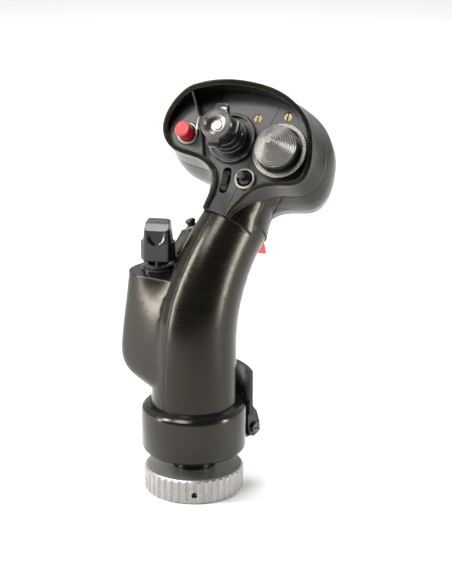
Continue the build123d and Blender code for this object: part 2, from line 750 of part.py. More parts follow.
save(make_switch_can(CASTLE_SEAT, 0.0, CAN_HALF), "castle_switch_can")
save(make_gimbal(CASTLE_SEAT), "castle_gimbal")
save(make_rocker(CASTLE_SEAT, STEM_R + FIT, 0.0, 0.0), "castle_rocker")
save(ring(castle_on_plate, 0.0, STEM_R, -11.0, CAP_LOW + 2.0), "castle_stem")
save(turned(castle_on_plate, ((10.9, 0.0), (12.3, 0.0), (12.3, 1.6), (11.8, 2.2), (10.9, 2.2))),
     "castle_base_ring")
with BuildPart() as castle_skirts:
    add(turned(castle_on_plate, (
        (STEM_R, 3.8), (8.8, 3.8), (9.0, 4.1), (9.0, 4.9), (8.7, 5.25), (STEM_R, 5.25))))
    add(turned(castle_on_plate, (
        (STEM_R, 5.3), (7.9, 5.3), (8.1, 5.6), (8.1, 7.4), (7.8, 7.8), (STEM_R, 7.8))))
    add(turned(castle_on_plate, (
        (STEM_R, 7.85), (7.0, 7.85), (7.2, 8.1), (7.2, CAP_LOW - 0.4), (6.9, CAP_LOW),
        (STEM_R, CAP_LOW))))
save(castle_skirts.part, "castle_skirts")

PRONG_W = 6.4
PRONG_OUT = 10.7
cap_seat = castle_on_plate.offset(CAP_LOW)
with BuildPart() as castle_cap:
    add(turned(cap_seat, (
        (STEM_R, 0.0), (6.4, 0.0), (6.8, 0.4), (6.8, 4.6), (7.6, 5.8), (7.6, 10.4),
        (7.2, 10.8), (6.1, 10.8), (4.8, 9.2), (3.2, 8.3), (2.4, 8.2), (2.2, 8.7), (0.0, 8.7),
        (0.0, 2.0), (STEM_R, 2.0))))
    with BuildSketch(cap_seat.offset(5.2)):
        for turn in (0, 90):
            RectangleRounded(2 * PRONG_OUT, PRONG_W, 1.4, rotation=turn)
        Circle(6.6, mode=Mode.SUBTRACT)
    extrude(amount=5.6)
    add(turned(cap_seat, (
        (7.0, 11.3), (8.2, 9.7), (9.6, 8.9), (12.5, 8.4), (12.5, 13.0), (7.0, 13.0))),
        mode=Mode.SUBTRACT)
    add(turned(cap_seat, ((7.9, 4.6), (9.2, 6.1), (12.5, 7.2), (12.5, 4.6))),
        mode=Mode.SUBTRACT)
save(castle_cap.part, "castle_cap")

TRIM_CONE = ((1.9, 20.6), (10.2, 10.6))
cone_profile = [(0.0, TRIM_CONE[0][1]), TRIM_CONE[0]]
GROOVES = 10
for groove in range(GROOVES):
    for part_way, sink in ((0.35, 0.0), (0.6, 0.34), (0.85, 0.0)):
        along = (groove + part_way) / GROOVES
        cone_profile.append((TRIM_CONE[0][0] + (TRIM_CONE[1][0] - TRIM_CONE[0][0]) * along,
                             TRIM_CONE[0][1] + (TRIM_CONE[1][1] - TRIM_CONE[0][1]) * along - sink))
cone_profile += [TRIM_CONE[1], (10.4, 10.3), (10.4, 7.4), (10.0, 6.9), (STEM_R, 6.9),
                 (STEM_R, 11.0), (0.0, 11.0)]
save(make_switch_can(TRIM_SEAT, 0.0, CAN_HALF), "trim_switch_can")
save(make_gimbal(TRIM_SEAT), "trim_gimbal")
save(make_rocker(TRIM_SEAT, 0.0, -8.0, 11.0 + PLATE_T), "trim_rocker")
save(turned(trim_on_plate, cone_profile), "trim_cap")
save(turned(trim_on_plate, ((11.2, 0.0), (12.6, 0.0), (12.6, 3.4), (11.2, 3.4))), "trim_collar")

TICKS = 48
with BuildPart() as trim_bezel:
    add(turned(trim_on_plate, ((11.2, 3.4), (13.3, 3.4), (13.5, 3.6), (13.5, 4.4), (13.2, 4.7),
                               (11.5, 4.7), (11.2, 4.4))))
    with BuildSketch(trim_on_plate.offset(4.7)):
        with PolarLocations(12.4, TICKS):
            Rectangle(1.4, 0.28)
    extrude(amount=-0.25, mode=Mode.SUBTRACT)
save(trim_bezel.part, "trim_bezel")

# pod hat
POD_CAN_SEAT = POD_SEAT.offset(-WALL)
save(make_switch_can(POD_CAN_SEAT, 0.0, CAN_HALF), "pod_hat_can")
save(make_gimbal(POD_CAN_SEAT), "pod_hat_gimbal")
save(make_rocker(POD_CAN_SEAT, 0.0, -8.0, 12.0 + WALL), "pod_hat_rocker")
with BuildPart() as pod_hat_nut:
    add(ring(POD_SEAT, 5.0, 8.4, 0.0, 0.8))
    with BuildSketch(POD_SEAT.offset(0.8)):
        RegularPolygon(7.6, 12)
        Circle(5.0, mode=Mode.SUBTRACT)
    extrude(amount=1.8)
save(pod_hat_nut.part, "pod_hat_nut")

KNOB_YAW = 35
KNOB_LOW = 4.6
KNOB_STEP = 14.0
KNOB_TOP = 24.0
KNOB_BLOCK = (12.0, 10.5)
KNOB_WINGS = (16.4, 6.4)
knob_turn = math.radians(KNOB_YAW)
knob_seat = Plane(origin=POD_SEAT.origin, x_dir=(math.cos(knob_turn), math.sin(knob_turn), 0),
                  z_dir=(0, 0, 1))
with BuildPart() as pod_hat_knob:
    add(block(knob_seat, KNOB_LOW, KNOB_TOP, *KNOB_BLOCK, 2.2))
    add(block(knob_seat, KNOB_LOW, KNOB_STEP, *KNOB_WINGS, 2.0))
    add(block(knob_seat, KNOB_LOW, KNOB_STEP - 1.5, KNOB_WINGS[1], 13.4, 2.0))
    fillet(pod_hat_knob.edges().group_by(Axis.Z)[-1], 1.2)
    chamfer(pod_hat_knob.edges().group_by(Axis.Z)[0], 0.6)
    with BuildSketch(Plane(origin=knob_seat.from_local_coords(Vector(0, -KNOB_BLOCK[1] / 2 - 1.4,
                                                                     KNOB_TOP + 1.0)),
                           x_dir=knob_seat.x_dir, z_dir=(0.574 * 0.3, -0.819 * 0.3, 0.954))):
        Circle(3.2)
    extrude(amount=7.5, both=True, mode=Mode.SUBTRACT)
    with BuildSketch(POD_SEAT.offset(KNOB_LOW)):
        Circle(STEM_R)
    extrude(amount=12.0 - KNOB_LOW, mode=Mode.SUBTRACT)
save(pod_hat_knob.part, "pod_hat_knob")

# ---------------------------------------------------------------- push buttons
red_seat = on_head(*RED, RED_PANEL_H)
save(turned(red_seat, ((4.4, 0.0), (5.7, 0.0), (5.8, 0.2), (5.6, 0.8), (5.1, 1.3), (4.4, 1.3))),
     "red_button_bezel")
save(turned(red_seat, (
    (0.0, -6.4), (1.5, -6.4), (1.5, 0.9), (3.9, 0.9), (3.9, 7.4), (3.5, 7.9), (0.0, 7.9))),
    "red_button")
RED_SPRING_R = 2.6
with BuildPart() as red_button_spring:
    with BuildLine():
        coil = Helix(pitch=0.8, height=2.1, radius=RED_SPRING_R,
                     center=red_seat.origin - red_seat.z_dir * 1.6, direction=red_seat.z_dir)
    with BuildSketch(Plane(origin=coil @ 0, z_dir=coil % 0)):
        Circle(0.22)
    sweep(is_frenet=True)
save(red_button_spring.part, "red_button_spring")
with BuildPart() as red_switch:
    add(block(on_head(*RED), -9.0, -PLATE_T, 8.0, 8.0, 0.8))
    add(ring(on_head(*RED), 0.0, 1.9, -6.6, 0.0), mode=Mode.SUBTRACT)
save(red_switch.part, "red_button_switch")

small_seat = on_head(*SMALL)
save(turned(small_seat, ((3.3, 0.0), (5.3, 0.0), (5.3, 1.2), (4.9, 1.7), (4.1, 1.7), (3.3, 0.5))),
     "small_button_bezel")
save(turned(small_seat, (
    (0.0, -4.6), (1.3, -4.6), (1.3, -0.4), (3.0, -0.4), (3.0, 1.5), (2.6, 2.0), (1.9, 2.6),
    (1.9, 6.8), (1.4, 7.4), (0.0, 7.4))), "small_button")
with BuildPart() as small_switch:
    add(block(small_seat, -8.0, -PLATE_T, 6.4, 6.4, 0.8))
    add(ring(small_seat, 0.0, 1.6, -6.4, 0.0), mode=Mode.SUBTRACT)
save(small_switch.part, "small_button_switch")

# ---------------------------------------------------------------- thumbwheel
WHEEL_R = 6.6
WHEEL_SINK = 5.2
WHEEL_RIBS = 30
AXLE_R = 0.9
wheel_seat = on_head(*WHEEL, -WHEEL_SINK)
wheel_plane = Plane(origin=wheel_seat.origin, x_dir=HEAD.y_dir, z_dir=HEAD.x_dir)
with BuildPart() as thumbwheel:
    with BuildSketch(wheel_plane.offset(-1.6)):
        Circle(WHEEL_R)
        with PolarLocations(WHEEL_R + 0.1, WHEEL_RIBS):
            Circle(0.36, mode=Mode.SUBTRACT)
    extrude(amount=3.2)
    add(cross_pin(wheel_seat, HEAD.x_dir, AXLE_R, 5.4))
save(thumbwheel.part, "thumbwheel")
with BuildPart() as thumbwheel_bracket:
    add(block(HEAD, -PLATE_T - 12.6, -PLATE_T, 5.6, 5.0, at=WHEEL))
    add(block(HEAD, -PLATE_T - 11.2, 0.0, 3.8, 16.0, at=WHEEL), mode=Mode.SUBTRACT)
    add(cross_pin(wheel_seat, HEAD.x_dir, AXLE_R + FIT, 6.8), mode=Mode.SUBTRACT)
save(thumbwheel_bracket.part, "thumbwheel_bracket")

# ---------------------------------------------------------------- trigger
TRIGGER_HUB_R = 2.7
TRIGGER_PIN_R = 1.0
CHEEK = (4.1, 5.7)
TRIGGER_BLADE = (
    (40.4, 126.2), (44.3, 126.6), (43.9, 121.5), (44.7, 118.6), (46.0, 114.0), (47.4, 108.5),
    (46.6, 108.0), (42.0, 109.4), (38.2, 111.4), (38.6, 117.0), (39.8, 122.5),
)
TRIGGER_CHEEK = (
    (34.4, 131.0), (34.4, 121.0), (39.0, 121.0), (52.0, 124.0), (52.0, 131.0),
)
TRIGGER_WEB = ((34.4, 131.0), (34.4, 118.5), (36.0, 118.5), (36.0, 131.0))
pivot_seat = Plane(origin=(0, TRIGGER_PIVOT[0], TRIGGER_PIVOT[1]), x_dir=(0, 1, 0), z_dir=(0, 0, 1))
across_x = Vector(1, 0, 0)

with BuildPart() as trigger:
    add(prism(Plane.YZ, TRIGGER_BLADE, TRIGGER_W / 2, both=True))
    add(cross_pin(pivot_seat, across_x, TRIGGER_HUB_R, TRIGGER_W))
    add(cross_pin(pivot_seat, across_x, TRIGGER_PIN_R + FIT, 2 * TRIGGER_W), mode=Mode.SUBTRACT)
    fillet(trigger.edges().filter_by(Axis.X).group_by(Axis.Z)[0], 0.3)
save(trigger.part, "trigger")
save(cross_pin(pivot_seat, across_x, TRIGGER_PIN_R, 2 * CHEEK[1]), "trigger_pin")

with BuildPart() as trigger_bracket:
    add(prism(Plane.YZ, TRIGGER_CHEEK, CHEEK[1], both=True))
    add(prism(Plane.YZ, ((36.0, 100.0), (60.0, 100.0), (60.0, 140.0), (36.0, 140.0)), CHEEK[0],
              both=True), mode=Mode.SUBTRACT)
    add(prism(Plane.YZ, TRIGGER_WEB, CHEEK[1], both=True))
    add(neck_inner, mode=Mode.INTERSECT)
    add(cross_pin(pivot_seat, across_x, TRIGGER_PIN_R + 0.01, 3 * TRIGGER_W), mode=Mode.SUBTRACT)
save(trigger_bracket.part, "trigger_bracket")

with BuildPart() as trigger_microswitch:
    add(prism(Plane.YZ, ((28.6, 112.0), (34.4, 112.0), (34.4, 122.0), (28.6, 122.0)), 3.0,
              both=True))
save(trigger_microswitch.part, "trigger_microswitch")

# ---------------------------------------------------------------- paddle lever
PADDLE_SPREAD = 34
PADDLE_Z = (33.8, 58.5)
EAR_X = (11.0, 12.8)
PADDLE_PIN_R = 1.5
PADDLE_EAR = ((24.8, 37.5), (27.6, 37.5), (31.2, 33.4), (33.4, 27.0), (32.4, 21.6), (29.0, 20.4),
              (26.2, 21.6), (25.0, 26.0))
paddle_seat = Plane(origin=(0, PADDLE_PIVOT[0], PADDLE_PIVOT[1]), x_dir=(0, 1, 0), z_dir=(0, 0, 1))

with BuildPart() as paddle_bracket:
    bracket_profile = (
        (BRACKET_FACE, BRACKET_Z[0]), (30.0, BRACKET_Z[0]), (32.6, 22.4), (32.6, 27.6),
        (30.4, BRACKET_Z[1]), (BRACKET_FACE, BRACKET_Z[1]))
    add(prism(Plane.YZ, bracket_profile, BRACKET_HALF, both=True))
    add(prism(Plane.YZ, ((27.0, 15.0), (40.0, 15.0), (40.0, 40.0), (27.0, 40.0)), 4.0, both=True),
        mode=Mode.SUBTRACT)
    add(cross_pin(paddle_seat, across_x, PADDLE_PIN_R + FIT, 40.0), mode=Mode.SUBTRACT)
save(paddle_bracket.part, "paddle_bracket")

with BuildPart() as paddle:
    with BuildSketch(Plane.XY.offset(PADDLE_Z[0])):
        Circle(PADDLE_R + PADDLE_T)
        Circle(PADDLE_R, mode=Mode.SUBTRACT)
        with BuildLine(mode=Mode.PRIVATE) as wedge:
            reach = 60.0
            swing = math.radians(PADDLE_SPREAD)
            Polyline((0, 0), (reach * math.sin(swing), reach * math.cos(swing)), (0, 2 * reach),
                     (-reach * math.sin(swing), reach * math.cos(swing)), close=True)
        make_face(wedge.edges(), mode=Mode.INTERSECT)
    extrude(amount=PADDLE_Z[1] - PADDLE_Z[0])
    add(prism(Plane.XZ, ((-30.0, 60.2), (30.0, 55.6), (30.0, 80.0), (-30.0, 80.0)), 60.0, both=True),
        mode=Mode.SUBTRACT)
    for side in (-1, 1):
        with BuildSketch(Plane.YZ.offset(EAR_X[0] if side > 0 else -EAR_X[1])):
            with BuildLine():
                Polyline(*PADDLE_EAR, close=True)
            make_face()
        extrude(amount=EAR_X[1] - EAR_X[0])
    add(cross_pin(paddle_seat, across_x, PADDLE_PIN_R + 0.01, 40.0), mode=Mode.SUBTRACT)
save(paddle.part, "paddle")

with BuildPart() as paddle_pin:
    add(cross_pin(paddle_seat, across_x, PADDLE_PIN_R, 2 * EAR_X[1]))
    for side in (-1, 1):
        with BuildSketch(Plane(origin=(side * EAR_X[1], PADDLE_PIVOT[0], PADDLE_PIVOT[1]),
                               x_dir=(0, 1, 0), z_dir=(side, 0, 0))):
            Circle(2.7)
        extrude(amount=1.4)
        with BuildSketch(Plane(origin=(side * (EAR_X[1] + 1.4), PADDLE_PIVOT[0], PADDLE_PIVOT[1]),
                               x_dir=(0, 1, 0), z_dir=(side, 0, 0))):
            Rectangle(6.0, 0.8)
        extrude(amount=-0.7, mode=Mode.SUBTRACT)
save(paddle_pin.part, "paddle_pin")

# ---------------------------------------------------------------- fin housing and its button
FIN_PROFILE = ((13.8, POD_TOP_Z), (13.8, 109.0), (20.5, 121.5), (24.0, 123.4), (28.5, 121.6),
               (19.4, POD_TOP_Z))
FIN_LEFT = -29.5
FIN_SEAT = Plane(origin=(-21.4, 22.3, 121.6), x_dir=(1, 0, 0.3), z_dir=(-0.3, -0.22, 1.0))
with BuildPart() as fin_housing:
    add(prism(Plane.YZ.offset(FIN_LEFT), FIN_PROFILE, 17.5))
    add(prism(Plane.XZ, ((FIN_LEFT - 1.0, 108.5), (FIN_LEFT + 0.1, 108.5), (FIN_LEFT + 4.6, 125.0),
                         (FIN_LEFT - 1.0, 125.0)), 60.0, both=True), mode=Mode.SUBTRACT)
    add(grip_outer, mode=Mode.SUBTRACT)
    with BuildSketch(FIN_SEAT):
        Circle(5.4)
    extrude(amount=8.0, mode=Mode.SUBTRACT)
    with BuildSketch(FIN_SEAT):
        Circle(1.2 + FIT)
    extrude(amount=-7.0, mode=Mode.SUBTRACT)
    with BuildSketch(FIN_SEAT):
        Circle(2.3)
    extrude(amount=-1.4, mode=Mode.SUBTRACT)
save(fin_housing.part, "fin_housing")
save(turned(FIN_SEAT, ((2.3, 0.0), (3.2, 0.0), (3.2, 1.0), (2.9, 1.3), (2.3, 1.3))),
     "fin_button_collar")
save(turned(FIN_SEAT, (
    (0.0, -5.0), (1.2, -5.0), (1.2, 0.0), (2.1, 0.0), (2.1, 2.6), (2.6, 2.9), (2.6, 3.9),
    (2.0, 4.5), (0.0, 4.5))), "fin_button")

# ---------------------------------------------------------------- electronics inside the grip
BOARD_Z = (30.0, 70.0)
BOARD_HALF = 10.0
STANDOFFS = ((-7.5, 34.0), (7.5, 34.0), (-7.5, 60.0), (7.5, 60.0))
with BuildPart() as board_bracket:
    add(block(UPRIGHT, FLANGE_TOP_Z[1], FLANGE_TOP_Z[1] + 1.4, 22.0, 20.0, 3.0))
    add(ring(UPRIGHT, 0.0, 7.5, 20.0, 40.0), mode=Mode.SUBTRACT)
    add(block(UPRIGHT, FLANGE_TOP_Z[1] + 1.4, 64.0, 2 * BOARD_HALF, 1.4, at=(0, -9.2)))
    for across, height in STANDOFFS:
        with BuildSketch(Plane(origin=(across, -8.5, height), x_dir=(1, 0, 0), z_dir=(0, 1, 0))):
            Circle(1.8)
        extrude(amount=3.0)
save(board_bracket.part, "board_bracket")

with BuildPart() as circuit_board:
    add(block(UPRIGHT, BOARD_Z[0], BOARD_Z[1], 2 * BOARD_HALF, 1.6, at=(0, -4.7)))
save(circuit_board.part, "circuit_board")

CHIPS = ((0.0, 44.0, 7.0, 7.0, 1.2), (-5.5, 55.0, 4.0, 5.0, 1.4), (5.0, 54.0, 5.0, 3.6, 1.1),
         (0.0, 64.0, 14.0, 5.0, 4.6))
with BuildPart() as board_chips:
    for across, height, width, tall, deep in CHIPS:
        add(block(UPRIGHT, height - tall / 2, height + tall / 2, width, deep,
                  at=(across, -3.9 + deep / 2)))
save(board_chips.part, "board_chips")
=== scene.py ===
import json
import math

import bmesh
import bpy
import numpy as np
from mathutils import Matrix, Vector


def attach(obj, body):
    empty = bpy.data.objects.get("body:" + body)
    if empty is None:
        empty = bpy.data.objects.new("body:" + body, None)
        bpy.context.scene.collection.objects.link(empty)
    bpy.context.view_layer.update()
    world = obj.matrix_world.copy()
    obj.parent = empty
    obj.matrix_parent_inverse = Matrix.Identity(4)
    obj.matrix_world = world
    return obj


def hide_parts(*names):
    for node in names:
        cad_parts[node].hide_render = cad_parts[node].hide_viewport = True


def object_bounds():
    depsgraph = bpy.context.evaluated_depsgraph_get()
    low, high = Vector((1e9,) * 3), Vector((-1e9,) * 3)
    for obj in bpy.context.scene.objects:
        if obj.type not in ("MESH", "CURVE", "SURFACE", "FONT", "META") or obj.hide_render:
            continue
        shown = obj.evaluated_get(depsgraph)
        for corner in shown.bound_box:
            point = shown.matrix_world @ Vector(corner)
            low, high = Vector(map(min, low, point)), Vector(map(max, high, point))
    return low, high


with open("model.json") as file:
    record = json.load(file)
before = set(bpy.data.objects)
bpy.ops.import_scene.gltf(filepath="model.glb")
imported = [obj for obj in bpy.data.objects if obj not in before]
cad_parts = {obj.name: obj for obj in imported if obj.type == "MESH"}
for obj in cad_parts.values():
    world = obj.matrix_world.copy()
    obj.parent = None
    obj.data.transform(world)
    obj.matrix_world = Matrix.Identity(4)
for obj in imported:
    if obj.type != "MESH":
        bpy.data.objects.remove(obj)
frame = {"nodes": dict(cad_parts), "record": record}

NODES = frame["nodes"]
CAD_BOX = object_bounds()
MM = 0.001
WELD_MM = 0.002                 # packed corners closer than this are one
CAD_EDGE = math.radians(28)     # packed faces that meet more sharply stay crisp

# ---------------------------------------------------------------- camera, floor and light
AIM = Vector((0.0062, 0.0162, 0.0967))      # middle of the view, on the grip
AZIMUTH = math.radians(43)
ELEVATION = math.radians(19)
DISTANCE = 1.1
LENS = 142.1
FLOOR_REACH = 3.0
FLOOR_GAP = 0.1 * MM            # the floor lies just below the lock ring
SWEEP_GLOW = 0.05               # light the white floor adds of its own
ROOM_FAR = 0.72                 # brightness of the room beyond the object
ROOM_NEAR = 0.03                # and on the near side
WARM_WHITE = (1.0, 0.975, 0.93)
PLAIN_WHITE = (1.0, 1.0, 1.0)
# lamps: name, azimuth, elevation, distance, size, power and tint
LAMPS = (
    ("key", 0, 60, 1.3, (0.45, 0.45), 9, PLAIN_WHITE),
    ("left_strip", -36, 24, 1.1, (0.18, 1.1), 21, WARM_WHITE),
    ("right_strip", 114, 6, 1.1, (0.13, 0.8), 13, WARM_WHITE),
    ("top_soft", 215, 62, 1.2, (0.5, 0.5), 14, PLAIN_WHITE),
)


def make_camera():
    back = Vector((math.sin(AZIMUTH) * math.cos(ELEVATION),
                   -math.cos(AZIMUTH) * math.cos(ELEVATION), math.sin(ELEVATION)))
    data = bpy.data.cameras.new("camera")
    data.lens = LENS
    data.sensor_width = 36
    data.clip_start = 0.05
    data.clip_end = 30
    camera = bpy.data.objects.new("camera", data)
    camera.location = AIM + back * DISTANCE
    camera.rotation_euler = (-back).to_track_quat("-Z", "Y").to_euler()
    bpy.context.scene.collection.objects.link(camera)
    bpy.context.scene.camera = camera


def area_light(name, azimuth, elevation, distance, size, power, tint):
    a = math.radians(azimuth)
    e = math.radians(elevation)
    away = Vector((math.sin(a) * math.cos(e), -math.cos(a) * math.cos(e), math.sin(e)))
    data = bpy.data.lights.new(name, "AREA")
    data.shape = "RECTANGLE"
    data.size = size[0]
    data.size_y = size[1]
    data.energy = power
    data.color = tint
    lamp = bpy.data.objects.new(name, data)
    lamp.location = AIM + away * distance
    lamp.rotation_euler = (-away).to_track_quat("-Z", "Y").to_euler()
    bpy.context.scene.collection.objects.link(lamp)


def shade_room(tree):
    """A white room whose near side, which a dark object mirrors, is unlit."""
    near = Vector((math.sin(AZIMUTH), -math.cos(AZIMUTH), 0.25)).normalized()
    place = tree.nodes.new("ShaderNodeTexCoord")
    facing = tree.nodes.new("ShaderNodeVectorMath")
    facing.operation = "DOT_PRODUCT"
    facing.inputs[1].default_value = near
    level = tree.nodes.new("ShaderNodeMapRange")
    level.interpolation_type = "SMOOTHSTEP"
    level.inputs["From Min"].default_value = -0.35
    level.inputs["From Max"].default_value = 0.55
    level.inputs["To Min"].default_value = ROOM_FAR
    level.inputs["To Max"].default_value = ROOM_NEAR
    backdrop = tree.nodes["Background"]
    backdrop.inputs["Color"].default_value = (1.0, 1.0, 0.99, 1)
    tree.links.new(place.outputs["Generated"], facing.inputs[0])
    tree.links.new(facing.outputs["Value"], level.inputs["Value"])
    tree.links.new(level.outputs["Result"], backdrop.inputs["Strength"])


def make_studio():
    floor_mesh = bpy.data.meshes.new("floor")
    corners = [(x * FLOOR_REACH, y * FLOOR_REACH, 0) for x, y in ((-1, -1), (1, -1), (1, 1), (-1, 1))]
    floor_mesh.from_pydata(corners, [], [(0, 1, 2, 3)])
    floor = bpy.data.objects.new("floor", floor_mesh)
    floor.location.z = CAD_BOX[0].z - FLOOR_GAP
    bpy.context.scene.collection.objects.link(floor)
    paper = Shader("white_sweep", (0.80, 0.80, 0.796), 0.9)
    paper.set("Specular IOR Level", 0.1)
    paper.set("Emission Color", (1, 1, 1, 1))
    paper.set("Emission Strength", SWEEP_GLOW)
    floor_mesh.materials.append(paper.material)
    world = bpy.data.worlds.new("studio")
    world.use_nodes = True
    bpy.context.scene.view_settings.view_transform = "Standard"
    shade_room(world.node_tree)
    bpy.context.scene.world = world
    for lamp in LAMPS:
        area_light(*lamp)


# ---------------------------------------------------------------- materials
BEVEL_SAMPLES = 6
MOTTLE = (0.35, 0.65)           # texture values between which one colour turns into the other
EDGE_BEND = (0.80, 0.94)        # how far an edge turns the eased normal, from rubbed and painted-highlit to untouched
RUB_AND_HIGHLIGHT_PATCHES = (0.38, 0.6)       # share of the texture where the rubbing and the painted edge highlight show


class Shader:
    """A node material that is built up layer by layer."""

    def __init__(self, name, color, roughness, metallic=0.0, edge_mm=0.0):
        self.material = bpy.data.materials.new(name)
        self.material.use_nodes = True
        self.tree = self.material.node_tree
        self.surface = self.tree.nodes["Principled BSDF"]
        self.surface.inputs["Base Color"].default_value = (*color, 1)
        self.surface.inputs["Roughness"].default_value = roughness
        self.surface.inputs["Metallic"].default_value = metallic
        self.color = color
        self.roughness = roughness
        self.place = self.tree.nodes.new("ShaderNodeTexCoord").outputs["Object"]
        self.height = None
        if edge_mm:
            self.height = self.eased(edge_mm)
            self.tree.links.new(self.height, self.surface.inputs["Normal"])

    def eased(self, radius_mm):
        """The normal as if each edge were rounded to this radius."""
        node = self.tree.nodes.new("ShaderNodeBevel")
        node.samples = BEVEL_SAMPLES
        node.inputs["Radius"].default_value = radius_mm * MM
        return node.outputs["Normal"]

    def set(self, socket, value):
        self.surface.inputs[socket].default_value = value

    def stretched(self, scale):
        """Object coordinates, squeezed along an axis where its scale is over one."""
        mapping = self.tree.nodes.new("ShaderNodeMapping")
        mapping.inputs["Scale"].default_value = scale
        self.tree.links.new(self.place, mapping.inputs["Vector"])
        return mapping.outputs["Vector"]

    def noise(self, scale, detail=3.0, roughness=0.5, stretch=(1, 1, 1)):
        node = self.tree.nodes.new("ShaderNodeTexNoise")
        node.inputs["Scale"].default_value = scale
        node.inputs["Detail"].default_value = detail
        node.inputs["Roughness"].default_value = roughness
        self.tree.links.new(self.stretched(stretch), node.inputs["Vector"])
        return node.outputs["Fac"]

    def ramp(self, value, low, high, start=0.3, end=0.7):
        """A value between start and end becomes one between low and high."""
        node = self.tree.nodes.new("ShaderNodeMapRange")
        node.inputs["From Min"].default_value = start
        node.inputs["From Max"].default_value = end
        node.inputs["To Min"].default_value = low
        node.inputs["To Max"].default_value = high
        self.tree.links.new(value, node.inputs["Value"])
        return node.outputs["Result"]

    def mottle(self, value, other):
        """The base colour drifts to another colour with a texture."""
        ramp = self.tree.nodes.new("ShaderNodeValToRGB")
        ramp.color_ramp.elements[0].position = MOTTLE[0]
        ramp.color_ramp.elements[0].color = (*self.color, 1)
        ramp.color_ramp.elements[1].position = MOTTLE[1]
        ramp.color_ramp.elements[1].color = (*other, 1)
        self.tree.links.new(value, ramp.inputs["Fac"])
        self.tree.links.new(ramp.outputs["Color"], self.surface.inputs["Base Color"])

    def rubbed_and_highlit_edges(self, other, reach_mm=0.5, amount=1.0):
        """Edges are rubbed through to another colour, in patches; the lighter edge colour is partly
        rubbed wear and partly a painted highlight.
        """
        across = self.tree.nodes.new("ShaderNodeVectorMath")
        across.operation = "DOT_PRODUCT"
        self.tree.links.new(self.eased(reach_mm), across.inputs[0])
        flat = self.tree.nodes.new("ShaderNodeNewGeometry").outputs["Normal"]
        self.tree.links.new(flat, across.inputs[1])
        patches = self.tree.nodes.new("ShaderNodeMath")
        patches.operation = "MULTIPLY"
        self.tree.links.new(self.ramp(across.outputs["Value"], amount, 0, *EDGE_BEND),
                            patches.inputs[0])
        self.tree.links.new(self.ramp(self.noise(260, 4, 0.6), 0.25, 1, *RUB_AND_HIGHLIGHT_PATCHES),
                            patches.inputs[1])
        # mix in the lighter edge colour: partly rubbed wear, partly painted highlight along the edges
        mix = self.tree.nodes.new("ShaderNodeMix")
        mix.data_type = "RGBA"
        before = self.surface.inputs["Base Color"]
        self.tree.links.new(before.links[0].from_socket, mix.inputs["A"])
        mix.inputs["B"].default_value = (*other, 1)
        self.tree.links.new(patches.outputs["Value"], mix.inputs["Factor"])
        self.tree.links.new(mix.outputs["Result"], before)

    def rough(self, value, spread):
        """The gloss drifts with a texture."""
        self.tree.links.new(
            self.ramp(value, self.roughness - spread, self.roughness + spread),
            self.surface.inputs["Roughness"])

    def bump(self, value, depth_mm, strength):
        """A texture stands out of the surface, on top of any earlier one."""
        node = self.tree.nodes.new("ShaderNodeBump")
        node.inputs["Distance"].default_value = depth_mm * MM
        node.inputs["Strength"].default_value = strength
        self.tree.links.new(value, node.inputs["Height"])
        if self.height is not None:
            self.tree.links.new(self.height, node.inputs["Normal"])
        self.height = node.outputs["Normal"]
        self.tree.links.new(self.height, self.surface.inputs["Normal"])


def satin_black():
    """Paint over a cast shell: fine level brushing under the film, thumbed patches, and edges
    lightened in patches, partly rubbed wear and partly painted highlight.
    """
    shader = Shader("satin_black_paint", (0.0040, 0.0035, 0.0027), 0.235, edge_mm=1.1)
    shader.mottle(shader.noise(45, 5, 0.6), (0.0078, 0.0068, 0.0052))
    shader.rough(shader.noise(70, 5, 0.65, (1, 1, 16)), 0.06)
    # edges lighten to warm grey: partly rubbed wear, partly painted highlight
    shader.rubbed_and_highlit_edges((0.17, 0.16, 0.14), 0.5, 1.0)
    shader.bump(shader.noise(900, 2, 0.5), 0.008, 0.5)
    shader.bump(shader.noise(60, 4, 0.65, (1, 1, 30)), 0.06, 0.6)
    shader.set("Specular IOR Level", 0.34)
    shader.set("Specular Tint", (1.0, 0.93, 0.80, 1))
    return shader.material


def anodised_black():
    """Glossy black of the collar and the base, pale at the edges, partly rubbed wear and partly
    painted highlight.
    """
    shader = Shader("black_anodised", (0.0050, 0.0046, 0.0042), 0.22, edge_mm=0.6)
    shader.mottle(shader.noise(70, 4), (0.0085, 0.0079, 0.0070))
    shader.rough(shader.noise(35, 4, 0.6), 0.05)
    # edges lighten to grey: partly rubbed wear, partly painted highlight
    shader.rubbed_and_highlit_edges((0.12, 0.112, 0.10), 0.5, 0.9)
    shader.bump(shader.noise(120, 2, 0.5, (1, 1, 20)), 0.01, 0.3)
    shader.set("Specular IOR Level", 0.42)
    shader.set("Specular Tint", (1.0, 0.94, 0.84, 1))
    return shader.material


def face_grey():
    """Finely textured charcoal of the face plates, with edges lightened partly by rubbing and partly
    as painted highlight.
    """
    shader = Shader("face_plate_grey", (0.0125, 0.0122, 0.0124), 0.32, edge_mm=0.25)
    shader.mottle(shader.noise(80, 4), (0.0195, 0.019, 0.0193))
    shader.rough(shader.noise(60, 3), 0.05)
    # edges lighten to grey: partly rubbed wear, partly painted highlight
    shader.rubbed_and_highlit_edges((0.13, 0.125, 0.115), 0.4, 0.9)
    shader.bump(shader.noise(2600, 2, 0.6), 0.03, 0.5)
    return shader.material


